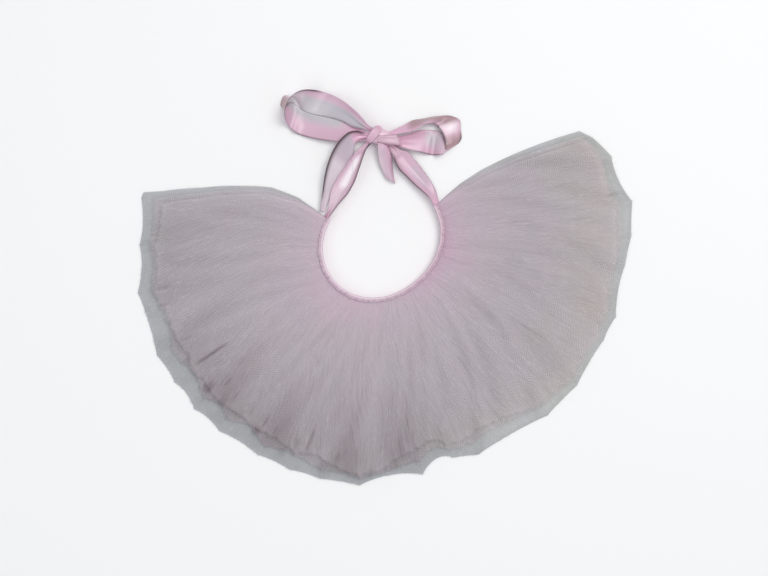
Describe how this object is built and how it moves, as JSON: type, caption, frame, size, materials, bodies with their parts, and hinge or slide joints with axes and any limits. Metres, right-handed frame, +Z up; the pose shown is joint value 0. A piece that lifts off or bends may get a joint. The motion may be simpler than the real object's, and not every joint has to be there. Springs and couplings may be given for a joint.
{
  "type": "ballet tutu",
  "caption": "Tied ballet tutu lying flat: gathered layers of tulle fan out round a folded satin ribbon waistband, whose ends are tied in a bow with loops and tails.",
  "frame": {"origin": "on the surface that the tutu lies on, under the middle of the whole garment's box", "axes": "+Z up out of the surface, +Y from the hem at the back towards the bow, +X to the right as seen from above"},
  "size_m": [0.446, 0.3556, 0.0225],
  "materials": {
    "tulle_rim": "sheer, open hexagonal net, matt",
    "tulle": "soft nylon net in gathered layers, matt",
    "satin": "single-faced satin ribbon, glossy"
  },
  "bodies": {
    "root": {"tulle_under": "tulle_rim", "tulle_middle": "tulle", "tulle_top": "tulle", "waistband": "satin", "tie_left": "satin", "tie_right": "satin", "knot": "satin", "loop_left": "satin", "loop_right": "satin", "tail_left": "satin", "tail_right": "satin"}
  },
  "joints": []
}
